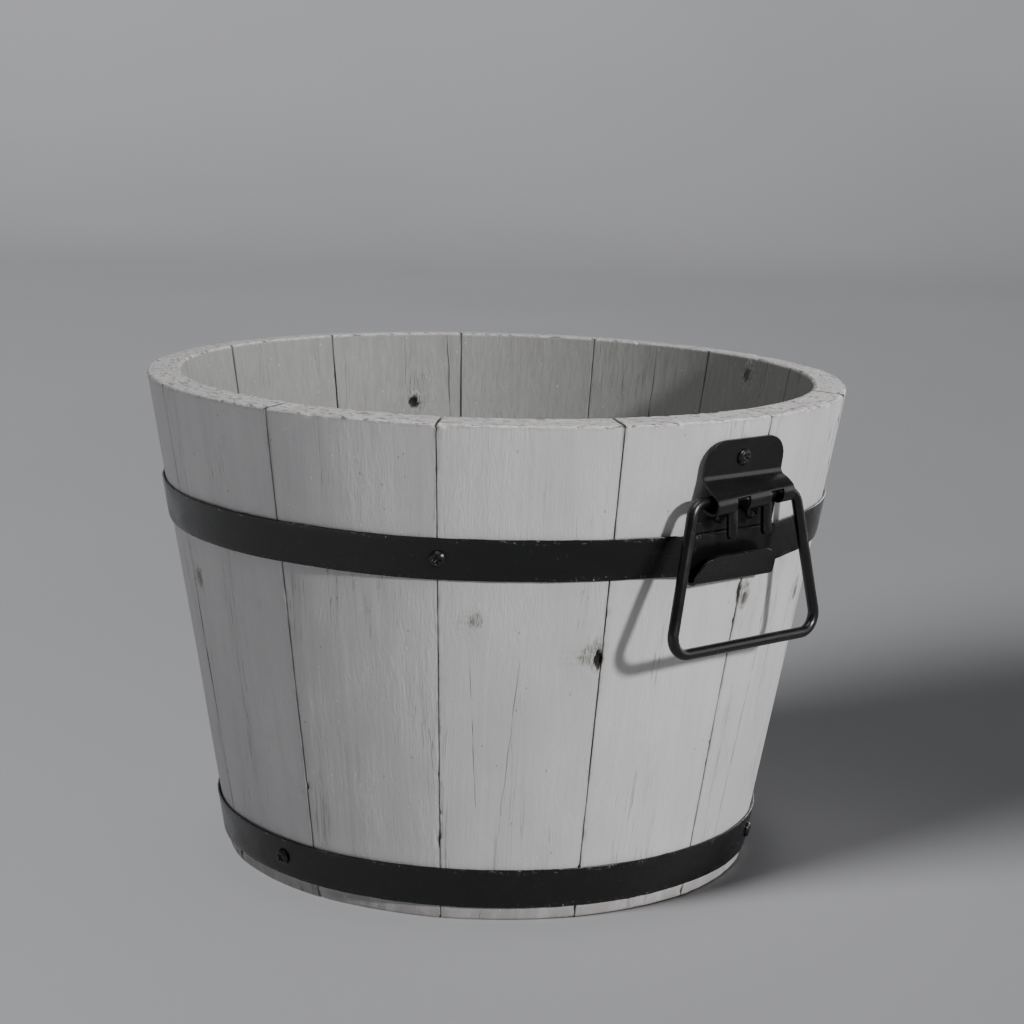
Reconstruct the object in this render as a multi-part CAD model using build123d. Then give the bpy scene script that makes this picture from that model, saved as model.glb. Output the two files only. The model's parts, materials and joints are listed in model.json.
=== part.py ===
from build123d import *
import os
from math import acos, atan, atan2, cos, degrees, hypot, radians, sin

# A tapered wooden tub of thirteen staves, held by two steel hoops, with a boarded
# bottom let into a groove and a wire drop handle on each side.
# Millimetres. +Z up, origin on the floor at the tub's axis. Azimuths are degrees from
# -Y towards +X.

# ---------------------------------------------------------------- driving dimensions
RIM_RADIUS = 200.0  # outside of the staves at their outer top corner
RIM_HEIGHT = 276.0
BASE_RADIUS = 151.7  # outside of the staves on the floor
STAVE_THICKNESS = 19.3  # measured level
RIM_RISE = 1.4  # the inner top corner stands this much above the outer one
RIM_ROUND = 1.6
FOOT_CHAMFER = 1.2
SEAM_AZIMUTHS = (-94.0, -65.0, -36.3, -8.6, 19.0, 46.2, 75.0, 105.8, 133.2, 160.0, 187.6, 215.4, 243.0)

CROZE_Z = 16.0  # groove that holds the bottom
CROZE_DEPTH = 6.0
BOTTOM_THICKNESS = 14.8
BOTTOM_GAP = 0.4
BOARD_EDGES = (-71.0, 1.5, 72.0)  # joints between the bottom boards, across the grain
BOARD_AZIMUTH = 24.0

HOOP_HEIGHT = 22.5
HOOP_THICKNESS = 1.3
UPPER_HOOP_Z = 193.5
LOWER_HOOP_Z = 8.0
LAP_GAP = 0.05
UPPER_LAP_AZIMUTH = 174.0
UPPER_LAP = 14.0  # degrees of overlap
LOWER_LAP_AZIMUTH = 166.0
LOWER_LAP = 18.0
RIVET_SHANK = 2.2
RIVET_HEAD = 4.2
RIVET_RISE = 1.6

SCREW_SHANK = 1.9
SCREW_LENGTH = 15.0
SCREW_HEAD = 4.4
SCREW_RISE = 2.3
RECESS_DEPTH = 1.2
UPPER_SCREW_AZIMUTHS = (-8.5, 110.0, 240.0)
LOWER_SCREW_AZIMUTHS = (-45.0, 74.8, 195.0)

HANDLE_AZIMUTHS = {"right": 41.1, "left": 221.1}
SHEET = 1.5  # bracket steel
BRACKET_HALF = 29.0
BRACKET_Z = 233.0  # height of the bracket's own origin on the wall
PLATE_TOP = 33.0  # these heights run up the wall from that origin
PLATE_CORNER = 13.0
TOP_SCREW = 23.0
TOP_SCREW_ACROSS = -1.8  # off centre
LOW_SCREW_SPREAD = 11.8
LOW_SCREW = -7.8
FLARE_TOP = 12.1  # where the sheet leaves the wall
FOLD_CREST = 6.1  # where it turns down in front of the wire
FOLD_FRONT = 13.9  # how far out that is
FOLD_FOOT = -1.95  # where it runs back to the wall under the wire
LIP_FOOT = -43.25
LIP_TOP = -26.8
LIP_OUT = 10.7
LIP_BEND = 3.6
LIP_CORNER = 12.0
SLOT_HALF = 4.9
SLOT_TOP = 6.0

WIRE = 3.0  # radius
PIVOT_HEIGHT = 234.4
PIVOT_RADIUS = 199.0  # level distance of the pivot line from the tub's axis
STUB_PLACES = (-10.0, 15.6)  # across the bracket, where the ends of the wire turn down
STUB_DROP = 21.0
BAIL_TOP_HALF = 37.9
BAIL_FOOT_HALF = 55.5
BAIL_DROP = 77.6
BAIL_HANG = 3.0  # degrees that the handle rests out from plumb
BAIL_RADII = [5.0, 8.0, 10.0, 10.0, 8.0, 5.0]

TAPER = (RIM_RADIUS - BASE_RADIUS) / RIM_HEIGHT
LEAN = atan(TAPER)


# ---------------------------------------------------------------- helpers
def wall_radius(height):
    """Outside radius of the staves at a height."""
    return BASE_RADIUS + TAPER * height


def turn(azimuth):
    """Rotation that carries the +X direction to an azimuth."""
    return Rot(0, 0, azimuth - 90)


def wall_plane(azimuth, height, lean=LEAN, radius=None):
    """Plane on the wall: x level and to the right, y up the slope, z straight out."""
    a = radians(azimuth)
    r = wall_radius(height) if radius is None else radius
    return Plane(
        origin=(r * sin(a), -r * cos(a), height),
        x_dir=(cos(a), sin(a), 0),
        z_dir=(sin(a) * cos(lean), -cos(a) * cos(lean), -sin(lean)),
    )


def swept_section(points, start, span):
    """Solid turned about the tub's axis from a section of (radius, height) points."""
    section = Plane.XZ * make_face(Polyline(*points, close=True))
    return turn(start) * revolve(section, Axis.Z, revolution_arc=span)


# ---------------------------------------------------------------- wood
def stave_section():
    """Outline of a stave: level foot, parallel walls, croze groove, sloping top."""
    def inner(z):
        return wall_radius(z) - STAVE_THICKNESS

    groove_top = CROZE_Z + BOTTOM_THICKNESS
    groove_radius = inner(CROZE_Z) + CROZE_DEPTH
    points = [
        (BASE_RADIUS - FOOT_CHAMFER, 0),
        (wall_radius(FOOT_CHAMFER), FOOT_CHAMFER),
        (RIM_RADIUS, RIM_HEIGHT),
        (inner(RIM_HEIGHT + RIM_RISE), RIM_HEIGHT + RIM_RISE),
        (inner(groove_top), groove_top),
        (groove_radius, groove_top),
        (groove_radius, CROZE_Z),
        (inner(CROZE_Z), CROZE_Z),
        (inner(0), 0),
    ]
    face = make_face(Polyline(*points, close=True))
    return fillet(face.vertices().sort_by(Axis.Y)[-2:], RIM_ROUND)


def staves():
    """The staves in order round the tub, each drilled for the screws that enter it."""
    section = Plane.XZ * stave_section()
    drills = [shank for _, shank in screw_places()]
    ends = SEAM_AZIMUTHS[1:] + (SEAM_AZIMUTHS[0] + 360,)
    made = {}
    for number, (start, end) in enumerate(zip(SEAM_AZIMUTHS, ends), 1):
        blank = turn(start) * revolve(section, Axis.Z, revolution_arc=end - start)
        made[f"stave_{number:02d}"] = blank - drills
    return made


def bottom_boards():
    """The round bottom, in boards laid edge to edge."""
    radius = wall_radius(CROZE_Z) - STAVE_THICKNESS + CROZE_DEPTH - BOTTOM_GAP
    disc = Pos(0, 0, CROZE_Z + BOTTOM_THICKNESS / 2) * Cylinder(radius, BOTTOM_THICKNESS)
    edges = (-radius,) + BOARD_EDGES + (radius,)
    made = {}
    for number, (low, high) in enumerate(zip(edges, edges[1:]), 1):
        width = high - low - BOTTOM_GAP
        strip = Pos((low + high) / 2, 0, CROZE_Z) * Box(width, 3 * radius, 4 * BOTTOM_THICKNESS)
        made[f"bottom_board_{number}"] = Rot(0, 0, BOARD_AZIMUTH) * (disc & strip)
    return made


# ---------------------------------------------------------------- hoops
def plan_point(radius, azimuth):
    a = radians(azimuth)
    return (radius * sin(a), -radius * cos(a))


def plan_arc(radius, start, end):
    middle = (start + end) / 2
    return ThreePointArc(*(plan_point(radius, a) for a in (start, middle, end)))


def upper_hoop_plan(height):
    """Plan of the upper hoop's inner face: a circle, drawn out straight over each bracket."""
    top = wall_radius(UPPER_HOOP_Z + HOOP_HEIGHT)
    radius = wall_radius(height)
    stand_off = (top + SHEET / cos(LEAN) + 0.2) * radius / top
    half = (BRACKET_HALF + 1.2) * radius / top
    corner = hypot(stand_off, half)
    corner_angle = degrees(atan2(half, stand_off))
    touch_angle = corner_angle + degrees(acos(radius / corner))
    edges = []
    azimuths = sorted(HANDLE_AZIMUTHS.values())
    for azimuth, following in zip(azimuths, azimuths[1:] + [azimuths[0] + 360]):
        knots = [
            plan_point(radius, azimuth - touch_angle),
            plan_point(corner, azimuth - corner_angle),
            plan_point(corner, azimuth + corner_angle),
            plan_point(radius, azimuth + touch_angle),
        ]
        edges += [Line(a, b) for a, b in zip(knots, knots[1:])]
        edges.append(plan_arc(radius, azimuth + touch_angle, following - touch_angle))
    face = make_face(edges)
    sharp = [v for v in face.vertices() if abs(hypot(v.X, v.Y) - corner) < 0.01]
    return fillet(sharp, 8.0)


def upper_hoop():
    """Tapered band that lies on the staves and runs straight over the brackets."""
    bottom, top = UPPER_HOOP_Z, UPPER_HOOP_Z + HOOP_HEIGHT
    plans = [(height, upper_hoop_plan(height)) for height in (bottom, top)]
    outside = loft([Pos(0, 0, z) * offset(plan, HOOP_THICKNESS) for z, plan in plans], ruled=True)
    inside = loft([Pos(0, 0, z) * plan for z, plan in plans], ruled=True)
    end, step = UPPER_LAP_AZIMUTH, 0.5
    band = outside - inside - cone_band(UPPER_HOOP_Z, -2, 4, end, end + step)
    return lapped(band, UPPER_HOOP_Z, end, step, UPPER_LAP)


def cone_band(foot, low, high, start, end):
    """Part of a band standing between two distances outside the wall, measured level."""
    top = foot + HOOP_HEIGHT
    points = [
        (wall_radius(foot) + low, foot),
        (wall_radius(foot) + high, foot),
        (wall_radius(top) + high, top),
        (wall_radius(top) + low, top),
    ]
    return swept_section(points, start, end - start)


def lapped(band, foot, end, step, lap):
    """The band with a step out after its gap and its other end laid back over its start."""
    over = HOOP_THICKNESS + LAP_GAP
    band += cone_band(foot, 0, over + HOOP_THICKNESS, end + step, end + 2 * step)
    return band + cone_band(foot, over, over + HOOP_THICKNESS, end - lap, end + 2 * step)


def lower_hoop():
    """Tapered band that lies flat on the staves."""
    end, step = LOWER_LAP_AZIMUTH, 0.6
    band = cone_band(LOWER_HOOP_Z, 0, HOOP_THICKNESS, end + step, end + 360)
    return lapped(band, LOWER_HOOP_Z, end, step, LOWER_LAP)


def rivet(depth):
    """Domed rivet. Its head's underside is the plane z = 0."""
    head = Pos(0, 0, RIVET_RISE / 2) * Cylinder(RIVET_HEAD, RIVET_RISE)
    head = fillet(head.edges().group_by(Axis.Z)[-1], 1.3)
    return head + Pos(0, 0, -depth / 2) * Cylinder(RIVET_SHANK, depth)


def rivets():
    """Two rivets through the lap of each hoop."""
    depth = 2 * HOOP_THICKNESS + LAP_GAP
    laps = [
        (UPPER_HOOP_Z, UPPER_LAP_AZIMUTH, (3.5, 10.0)),
        (LOWER_HOOP_Z, LOWER_LAP_AZIMUTH, (4.5, 13.0)),
    ]
    placed = []
    for foot, end, backs in laps:
        height = foot + HOOP_HEIGHT / 2
        for back in backs:
            head = wall_plane(end - back, height, radius=wall_radius(height) + depth / cos(LEAN))
            placed.append(head * rivet(depth * cos(LEAN)))
    return placed


# ---------------------------------------------------------------- screws
def screw_head():
    """Pan head with a cross recess. Its underside is the plane z = 0."""
    head = Pos(0, 0, SCREW_RISE / 2) * Cylinder(SCREW_HEAD, SCREW_RISE)
    head = fillet(head.edges().group_by(Axis.Z)[-1], 1.5)
    arm = Pos(0, 0, SCREW_RISE) * Box(4.6, 1.1, 2 * RECESS_DEPTH)
    return head - arm - Rot(0, 0, 90) * arm


def screw_shank():
    tip = 3.0
    straight = SCREW_LENGTH - tip
    shank = Pos(0, 0, -straight / 2) * Cylinder(SCREW_SHANK, straight)
    return shank + Pos(0, 0, -straight - tip / 2) * Cone(0.4, SCREW_SHANK, tip)


def screw_places():
    """(group, shank in place) of every screw that enters the staves."""
    return [(group, plane * screw_shank()) for group, plane in screw_planes()]


def screw_planes():
    """(group, plane under the head) of every screw."""
    planes = []
    for foot, azimuths in ((UPPER_HOOP_Z, UPPER_SCREW_AZIMUTHS), (LOWER_HOOP_Z, LOWER_SCREW_AZIMUTHS)):
        height = foot + HOOP_HEIGHT / 2
        face = wall_radius(height) + HOOP_THICKNESS
        planes += [("hoop_screws", wall_plane(azimuth, height, radius=face)) for azimuth in azimuths]
    for side, azimuth in HANDLE_AZIMUTHS.items():
        wall = wall_plane(azimuth, BRACKET_Z)
        low = [(across, LOW_SCREW) for across in (-LOW_SCREW_SPREAD, LOW_SCREW_SPREAD)]
        for across, up in [(TOP_SCREW_ACROSS, TOP_SCREW)] + low:
            planes.append((f"bracket_screws_{side}", wall * Plane((across, up, SHEET))))
    return planes


def screws():
    """Every screw, grouped by what it holds."""
    groups = {}
    for group, plane in screw_planes():
        whole = plane * (screw_head() + screw_shank())
        groups.setdefault(group, []).append(whole)
    return groups


# ---------------------------------------------------------------- handles
def pivot_in_bracket():
    """The pivot line in the bracket's plane: (up the wall, out from the wall)."""
    out = PIVOT_RADIUS - wall_radius(BRACKET_Z)
    up = PIVOT_HEIGHT - BRACKET_Z
    return (out * sin(LEAN) + up * cos(LEAN), out * cos(LEAN) - up * sin(LEAN))


def bracket_profile():
    """Middle line of the folded sheet as (up, out) points."""
    middle = SHEET / 2
    lip_root = middle + 2 * LIP_BEND
    points = [
        (PLATE_TOP, middle),
        (FLARE_TOP, middle),
        (FOLD_CREST, FOLD_FRONT),
        (FOLD_FOOT, FOLD_FRONT),
        (FOLD_FOOT, middle),
        (LIP_FOOT, middle),
        (LIP_FOOT, lip_root),
        (LIP_FOOT + LIP_BEND + 1.2, lip_root),
        (LIP_TOP, LIP_OUT),
    ]
    radii = [5.0, 4.5, 4.0, 1.2, LIP_BEND - 0.3, LIP_BEND - 0.3, 6.0]
    return FilletPolyline(*points, radius=radii)


def bracket():
    """One strip of sheet steel, folded over the wire and hooked under the upper hoop."""
    middle = Wire(bracket_profile().edges())
    section = Plane.YZ * Face(middle.offset_2d(SHEET / 2, side=Side.BOTH))
    strip = extrude(section, BRACKET_HALF, both=True)
    width, deep = 2 * BRACKET_HALF, 60.0
    tall = PLATE_TOP + 60.0
    outline = Pos(0, PLATE_TOP - tall / 2) * Rectangle(width, tall)
    outline = fillet(outline.vertices().group_by(Axis.Y)[-1], PLATE_CORNER)
    strip &= extrude(outline, deep, both=True)
    lip_height = LIP_TOP + 60.0
    lip = Pos(0, LIP_TOP + SHEET / 2 - lip_height / 2) * Rectangle(width, lip_height)
    lip = fillet(lip.vertices().group_by(Axis.Y)[-1], LIP_CORNER)
    waste = Pos(0, LIP_TOP - 8) * Rectangle(2 * width, 24) - lip
    strip -= Pos(0, 0, SHEET + 4.5) * extrude(waste, 12)
    up, out = pivot_in_bracket()
    slot_foot = up - WIRE - 6.0
    slot = Box(2 * SLOT_HALF, SLOT_TOP - slot_foot, 14.0)
    for across in STUB_PLACES:
        strip -= Pos(across, (SLOT_TOP + slot_foot) / 2, out - WIRE - 0.6 + 7.0) * slot
    return strip


def bail():
    """Trapezoid of round wire, its ends turned in along the pivot and then down."""
    left, right = STUB_PLACES
    points = [
        (left, -STUB_DROP),
        (left, 0),
        (-BAIL_TOP_HALF, 0),
        (-BAIL_FOOT_HALF, -BAIL_DROP),
        (BAIL_FOOT_HALF, -BAIL_DROP),
        (BAIL_TOP_HALF, 0),
        (right, 0),
        (right, -STUB_DROP),
    ]
    path = FilletPolyline(*points, radius=BAIL_RADII)
    start = Plane(path @ 0, z_dir=path % 0)
    return sweep(start * Circle(WIRE), path=path)


def handles():
    """Bracket and bail of each side in place."""
    folded, wire = bracket(), bail()
    made = {}
    for side, azimuth in HANDLE_AZIMUTHS.items():
        pivot = wall_plane(azimuth, PIVOT_HEIGHT, lean=-radians(BAIL_HANG), radius=PIVOT_RADIUS)
        made[f"bracket_{side}"] = wall_plane(azimuth, BRACKET_Z) * folded
        made[f"bail_{side}"] = pivot * wire
    return made


# ---------------------------------------------------------------- assembly
def build():
    screw_groups = screws()
    fixings = [s for group in screw_groups.values() for s in group]
    rivet_solids = rivets()
    nodes = staves() | bottom_boards() | handles()
    nodes["upper_hoop"] = upper_hoop()
    nodes["lower_hoop"] = lower_hoop()
    for name in ("upper_hoop", "lower_hoop", "bracket_right", "bracket_left"):
        nodes[name] -= fixings
    for name in ("upper_hoop", "lower_hoop"):
        nodes[name] -= rivet_solids
    nodes["hoop_rivets"] = rivet_solids
    return nodes | screw_groups


def main():
    os.makedirs("parts", exist_ok=True)
    for name, shape in build().items():
        solids = shape if isinstance(shape, list) else shape.solids()
        whole = Compound(children=list(solids)) if len(solids) > 1 else solids[0]
        export_step(whole, f"parts/{name}.step")


if __name__ == "__main__":
    main()
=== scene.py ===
import json
import math

import bpy
import bmesh
import numpy as np
from mathutils import Matrix, Vector

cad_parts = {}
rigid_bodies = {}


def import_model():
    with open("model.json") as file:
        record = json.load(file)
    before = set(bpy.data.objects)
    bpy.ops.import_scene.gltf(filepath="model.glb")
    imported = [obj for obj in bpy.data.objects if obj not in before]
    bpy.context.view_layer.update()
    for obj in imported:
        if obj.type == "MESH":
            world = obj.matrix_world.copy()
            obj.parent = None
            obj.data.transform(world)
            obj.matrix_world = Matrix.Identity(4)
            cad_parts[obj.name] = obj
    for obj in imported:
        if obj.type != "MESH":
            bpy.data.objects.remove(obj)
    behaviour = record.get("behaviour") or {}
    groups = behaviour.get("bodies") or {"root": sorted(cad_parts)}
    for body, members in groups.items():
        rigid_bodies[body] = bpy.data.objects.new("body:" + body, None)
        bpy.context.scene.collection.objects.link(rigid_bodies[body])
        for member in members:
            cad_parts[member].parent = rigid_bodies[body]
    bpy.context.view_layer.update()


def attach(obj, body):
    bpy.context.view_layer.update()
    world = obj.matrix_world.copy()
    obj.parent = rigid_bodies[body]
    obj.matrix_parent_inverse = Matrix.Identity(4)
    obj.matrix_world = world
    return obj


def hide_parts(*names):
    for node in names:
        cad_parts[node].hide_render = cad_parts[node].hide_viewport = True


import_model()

# ------ sizes, millimetres and degrees
RIM_RADIUS, RIM_HEIGHT, RIM_RISE = 200, 276, 1.4
BASE_RADIUS = 151.7
THICKNESS = 19.3
TAPER = (RIM_RADIUS - BASE_RADIUS) / RIM_HEIGHT
LEAN = math.atan(TAPER)
SEAMS = (-94, -65, -36.3, -8.6, 19, 46.2, 75, 105.8, 133.2, 160, 187.6, 215.4, 243)
SEAM_GAP, ARRIS, END_ROUNDING = 0.12, 0.62, 1.5
CROZE_Z, CROZE_DEPTH = 16, 6
BOTTOM_THICKNESS, BOARD_GAP = 14.8, 0.4
BOARD_EDGES = (-71, 1.5, 72)
BOARD_AZIMUTH = 24

HOOP_HEIGHT, HOOP_THICKNESS = 22.5, 1.3
UPPER_HOOP_Z, LOWER_HOOP_Z = 193.5, 8
UPPER_LAP_END, UPPER_LAP = 174, 14
LOWER_LAP_END, LOWER_LAP = 166, 18
LAP_GAP, LAP_RAMP = 0.05, 1.6
BRACKET_CLEARANCE, BRACKET_MARGIN = 0.2, 1.2

UPPER_SCREWS = (-8.5, 110, 240)
LOWER_SCREWS = (-45, 74.8, 195)
HANDLES = {"right": 41.1, "left": 221.1}

SHEET, BRACKET_HALF, BRACKET_Z = 1.5, 29, 233
PLATE_TOP, PLATE_CORNER = 33, 13
BRACKET_SCREWS = ((-1.8, 23), (-11.8, -7.8), (11.8, -7.8))
FLARE_TOP, FOLD_CREST, FOLD_FRONT, FOLD_FOOT = 12.1, 6.1, 13.9, -1.95
FOLD_RADII = (5, 4.5, 4, 1.2)
LIP_FOOT, LIP_TOP, LIP_OUT, LIP_BEND, LIP_CORNER = -43.25, -26.8, 10.7, 3.6, 12
SLOT_HALF, SLOT_TOP = 4.9, 6

WIRE, PIVOT_HEIGHT, PIVOT_RADIUS = 3, 234.4, 199
STUB_PLACES, STUB_DROP = (-10, 15.6), 21
BAIL_TOP_HALF, BAIL_FOOT_HALF, BAIL_DROP, BAIL_HANG = 37.9, 55.5, 77.6, 3
BAIL_RADII = (5, 8, 10, 10, 8, 5)
SLOT_REACH = STUB_PLACES[1] + SLOT_HALF

SCREW_HEAD, SCREW_SHANK, SCREW_SHOULDER, SCREW_LENGTH = 4.4, 1.9, 12, 15
RIVET_SHANK = 2.2
# Degrees back from the end of each lap
UPPER_RIVETS, LOWER_RIVETS = (3.5, 10), (4.5, 13)

# Points across, through and up a stave, and along and across a board
STAVE_WIDE, STAVE_DEEP, STAVE_ROWS = 82, 9, 168
BOARD_ROWS, BOARD_WIDE = 120, 46
CORNER_STEPS, LEAST_CORNER = 4, 0.15
HOOP_STEP, HOOP_MEAN_RADIUS = 0.75, 190

# Seeds. Each stave and board has its own run
STAVE_SEED, BOARD_SEED, SPLIT_SEED, SEED_STEP = 1000, 3000, 400, 40
UPPER_SEED, LOWER_SEED, BRACKET_SEED, WIRE_SEED = 51, 61, 811, 77
# Shift of the noise inside, and the distance where there is no split
INNER_SHIFT, NO_SPLIT = 71, 9

# How dark the painted shade and dirt in each joint between staves is, in the order of SEAMS
SEAM_DARK = (0.8, 0.9, 0.75, 0.6, 1, 0.6, 1, 0.7, 0.8, 0.5, 1, 1, 0.7)

# Knots: azimuth, height, radius, depth of hole, height to width, and 1 if on the inside
KNOTS = (
    (-2.3, 171.5, 4.6, 0, 1, 0),
    (16.6, 152.5, 6, 0, 1, 0),
    (18.2, 152, 4.6, 2.6, 2.3, 0),
    (47.6, 176, 5.5, 0.5, 1.8, 0),
    (69.8, 167, 5, 0.5, 1.8, 0),
    (-62, 170, 4.5, 0.3, 1.4, 0),
    (118, 120, 7, 0.8, 1.2, 0),
    (176, 226, 6, 0.4, 1, 0),
    (-128, 96, 6.5, 1, 1, 0),
    (-162.4, 234.7, 6.8, 2.6, 1, 1),
    (-164.2, 250, 4, 0.3, 0.5, 1),
    (121, 268, 7, 0.5, 1.3, 1),
    (30, 120, 6, 0.6, 1, 1),
)
# Splits: azimuth of the middle, low, high, width, lean, and 1 if on the inside
SPLITS = (
    (74.3, 16, 274, 0.9, 0, 0),
    (67.4, 50, 262, 0.22, 4, 0),
    (55.8, 20, 192, 0.22, 3, 0),
    (-2.6, 56, 160, 0.17, -8, 0),
    (4, 56, 154, 0.15, 8, 0),
    (-52, 60, 180, 0.15, 1.4, 0),
    (140, 40, 190, 0.45, 2, 0),
    (230, 30, 120, 0.4, -1, 0),
    (206, 150, 270, 0.35, 1, 0),
    (-170, 200, 276, 0.4, 1, 1),
    (146, 150, 276, 0.4, -1, 1),
)


def wall_radius(height):
    return BASE_RADIUS + TAPER * height


def across_wall(azimuth, middle, height):
    """Distance along the wall from one azimuth to another, the short way round."""
    return math.radians((azimuth - middle + 180) % 360 - 180) * wall_radius(height)


def joined(*parts):
    """Arrays of one coordinate each as one array of points."""
    return np.stack(parts, -1)


def around(radius, angle, z):
    """Points at a radius and an angle round the tub's own axis."""
    return joined(radius * np.sin(angle), -radius * np.cos(angle), z)


def placed_in(matrix, points):
    """Points carried into place by a matrix."""
    m = np.array(matrix)
    return points @ m[:3, :3].T + m[:3, 3]


# ------ noise
NOISE_CELLS, OCTAVE_SEED = 256, 17


def lattice(x, y, seed):
    """Smooth noise from -1 to 1 with features one unit across."""
    table = np.random.default_rng(seed).uniform(-1, 1, (NOISE_CELLS, NOISE_CELLS))
    xi, yi = np.floor(x).astype(int), np.floor(y).astype(int)
    fx, fy = x - xi, y - yi
    sx, sy = fx * fx * (3 - 2 * fx), fy * fy * (3 - 2 * fy)

    def corner(i, j):
        return table[(xi + i) % NOISE_CELLS, (yi + j) % NOISE_CELLS]

    low = corner(0, 0) * (1 - sx) + corner(1, 0) * sx
    high = corner(0, 1) * (1 - sx) + corner(1, 1) * sx
    return low * (1 - sy) + high * sy


def fractal(x, y, seed, octaves=3):
    """Noise from -1 to 1, each octave half as large and half as strong as the last."""
    layers = [lattice(x * 2**k, y * 2**k, seed + OCTAVE_SEED * k) / 2**k for k in range(octaves)]
    return sum(layers) / (2 - 2 ** (1 - octaves))


def fade(low, high, value):
    """0 below low, 1 above high, smooth between. low may be the larger."""
    t = np.clip((value - low) / (high - low), 0, 1)
    return t * t * (3 - 2 * t)


# ------ meshes
def link(made):
    bpy.context.scene.collection.objects.link(made)


def make_piece(name, node, points, faces, material, vectors=None, body="tub"):
    """Object from points in millimetres for a node of the frame. vectors are point attributes."""
    mesh = bpy.data.meshes.new(name)
    mesh.from_pydata(points * 0.001, [], [list(f) for f in faces])
    for label, values in (vectors or {}).items():
        layer = mesh.attributes.new(label, "FLOAT_VECTOR", "POINT")
        layer.data.foreach_set("vector", np.asarray(values, np.float32).ravel())
    mesh.validate()
    mesh.polygons.foreach_set("use_smooth", [True] * len(mesh.polygons))
    mesh.materials.append(material)
    made = bpy.data.objects.new(name, mesh)
    link(made)
    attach(made, body)
    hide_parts(node)
    return made


def loop_faces(rows, columns, start=0):
    """Quads of a tube of rows closed rings."""
    i, j = np.meshgrid(np.arange(rows - 1), np.arange(columns), indexing="ij")
    k = (j + 1) % columns
    near, far = i * columns, (i + 1) * columns
    quads = joined(near + j, near + k, far + k, far + j)
    return (quads.reshape(-1, 4) + start).tolist()


def grid_faces(index):
    """Quads of a grid whose point numbers are index[row, column]."""
    quads = joined(index[:-1, :-1], index[:-1, 1:], index[1:, 1:], index[1:, :-1])
    return quads.reshape(-1, 4).tolist()


def grid_rim(index):
    """Point numbers round the outside of a grid."""
    return np.concatenate([index[0, :-1], index[:-1, -1], index[-1, :0:-1], index[:0:-1, 0]])


def wall_faces(first, second):
    """Quads between two rings of as many points."""
    ends = zip(first, np.roll(first, -1), second, np.roll(second, -1))
    return [[a, c, d, b] for a, b, c, d in ends]


def turn_faces_out(mesh, join=0):
    """Turns all faces outward, after joining points closer than join metres."""
    edit = bmesh.new()
    edit.from_mesh(mesh)
    if join:
        bmesh.ops.remove_doubles(edit, verts=edit.verts, dist=join)
    bmesh.ops.recalc_face_normals(edit, faces=edit.faces)
    edit.to_mesh(mesh)
    edit.free()


# ------ rounded blocks of wood
def edge_places(length, radius, count):
    """Places along one side of a rounded rectangle, and how far its rounding pulls each in."""
    turn = np.radians(45 + 45 * np.linspace(0, 1, CORNER_STEPS + 1))
    along = radius[:, None] * (1 - np.cos(turn))
    inset = radius[:, None] * (1 - np.sin(turn))
    middle = np.linspace(0, 1, count + 1)[1:-1]
    straight = radius[:, None] + (length - 2 * radius)[:, None] * middle
    zero = np.zeros_like(straight)
    return (
        np.concatenate([along, straight, (length[:, None] - along)[:, ::-1]], 1),
        np.concatenate([inset, zero, inset[:, ::-1]], 1),
    )


def block_rings(half, depth, radius, inset, wide, deep):
    """Rings round a board, one to a row: across, depth, points on a wide and on a deep side."""
    radius = np.maximum(radius - inset, LEAST_CORNER)
    along, pull = edge_places(2 * (half - inset), radius, wide)
    side, side_pull = edge_places(depth - 2 * inset, radius, deep)
    left, right = -(half - inset)[:, None], (half - inset)[:, None]
    near, far = inset[:, None], (depth - inset)[:, None]
    across = [left + along, right - side_pull, right - along, left + side_pull]
    depths = [near + pull, near + side, far - pull, far - side]
    return (
        np.concatenate([a[:, :-1] for a in across], 1),
        np.concatenate([d[:, :-1] for d in depths], 1),
        along.shape[1],
        side.shape[1],
    )


def cap_grid(ring, wide, deep, first_new):
    """Point numbers of a cap over one ring. Its inner points are numbered from first_new."""
    n = len(ring)
    outer = ring[np.arange(wide)]
    right = ring[wide - 1 + np.arange(deep)]
    inner = ring[(2 * wide + deep - 3 - np.arange(wide)) % n]
    left = ring[(-np.arange(deep)) % n]
    index = np.zeros((deep, wide), int)
    index[0], index[-1], index[:, 0], index[:, -1] = outer, inner, left, right
    index[1:-1, 1:-1] = first_new + np.arange((deep - 2) * (wide - 2)).reshape(deep - 2, wide - 2)
    return index


def cap_points(values, index):
    """Coons blend of a ring's values over the inside of a cap."""
    near, far, left, right = (values[i] for i in (index[0], index[-1], index[:, 0], index[:, -1]))
    t = np.linspace(0, 1, len(left))[:, None, None]
    s = np.linspace(0, 1, len(near))[None, :, None]
    ruled = near * (1 - t) + far * t
    across = left[:, None] * (1 - s) + right[:, None] * s
    near_corners, far_corners = (end[0] * (1 - s) + end[-1] * s for end in (near, far))
    corners = near_corners * (1 - t) + far_corners * t
    return (ruled + across - corners)[1:-1, 1:-1].reshape(-1, values.shape[-1])


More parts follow.
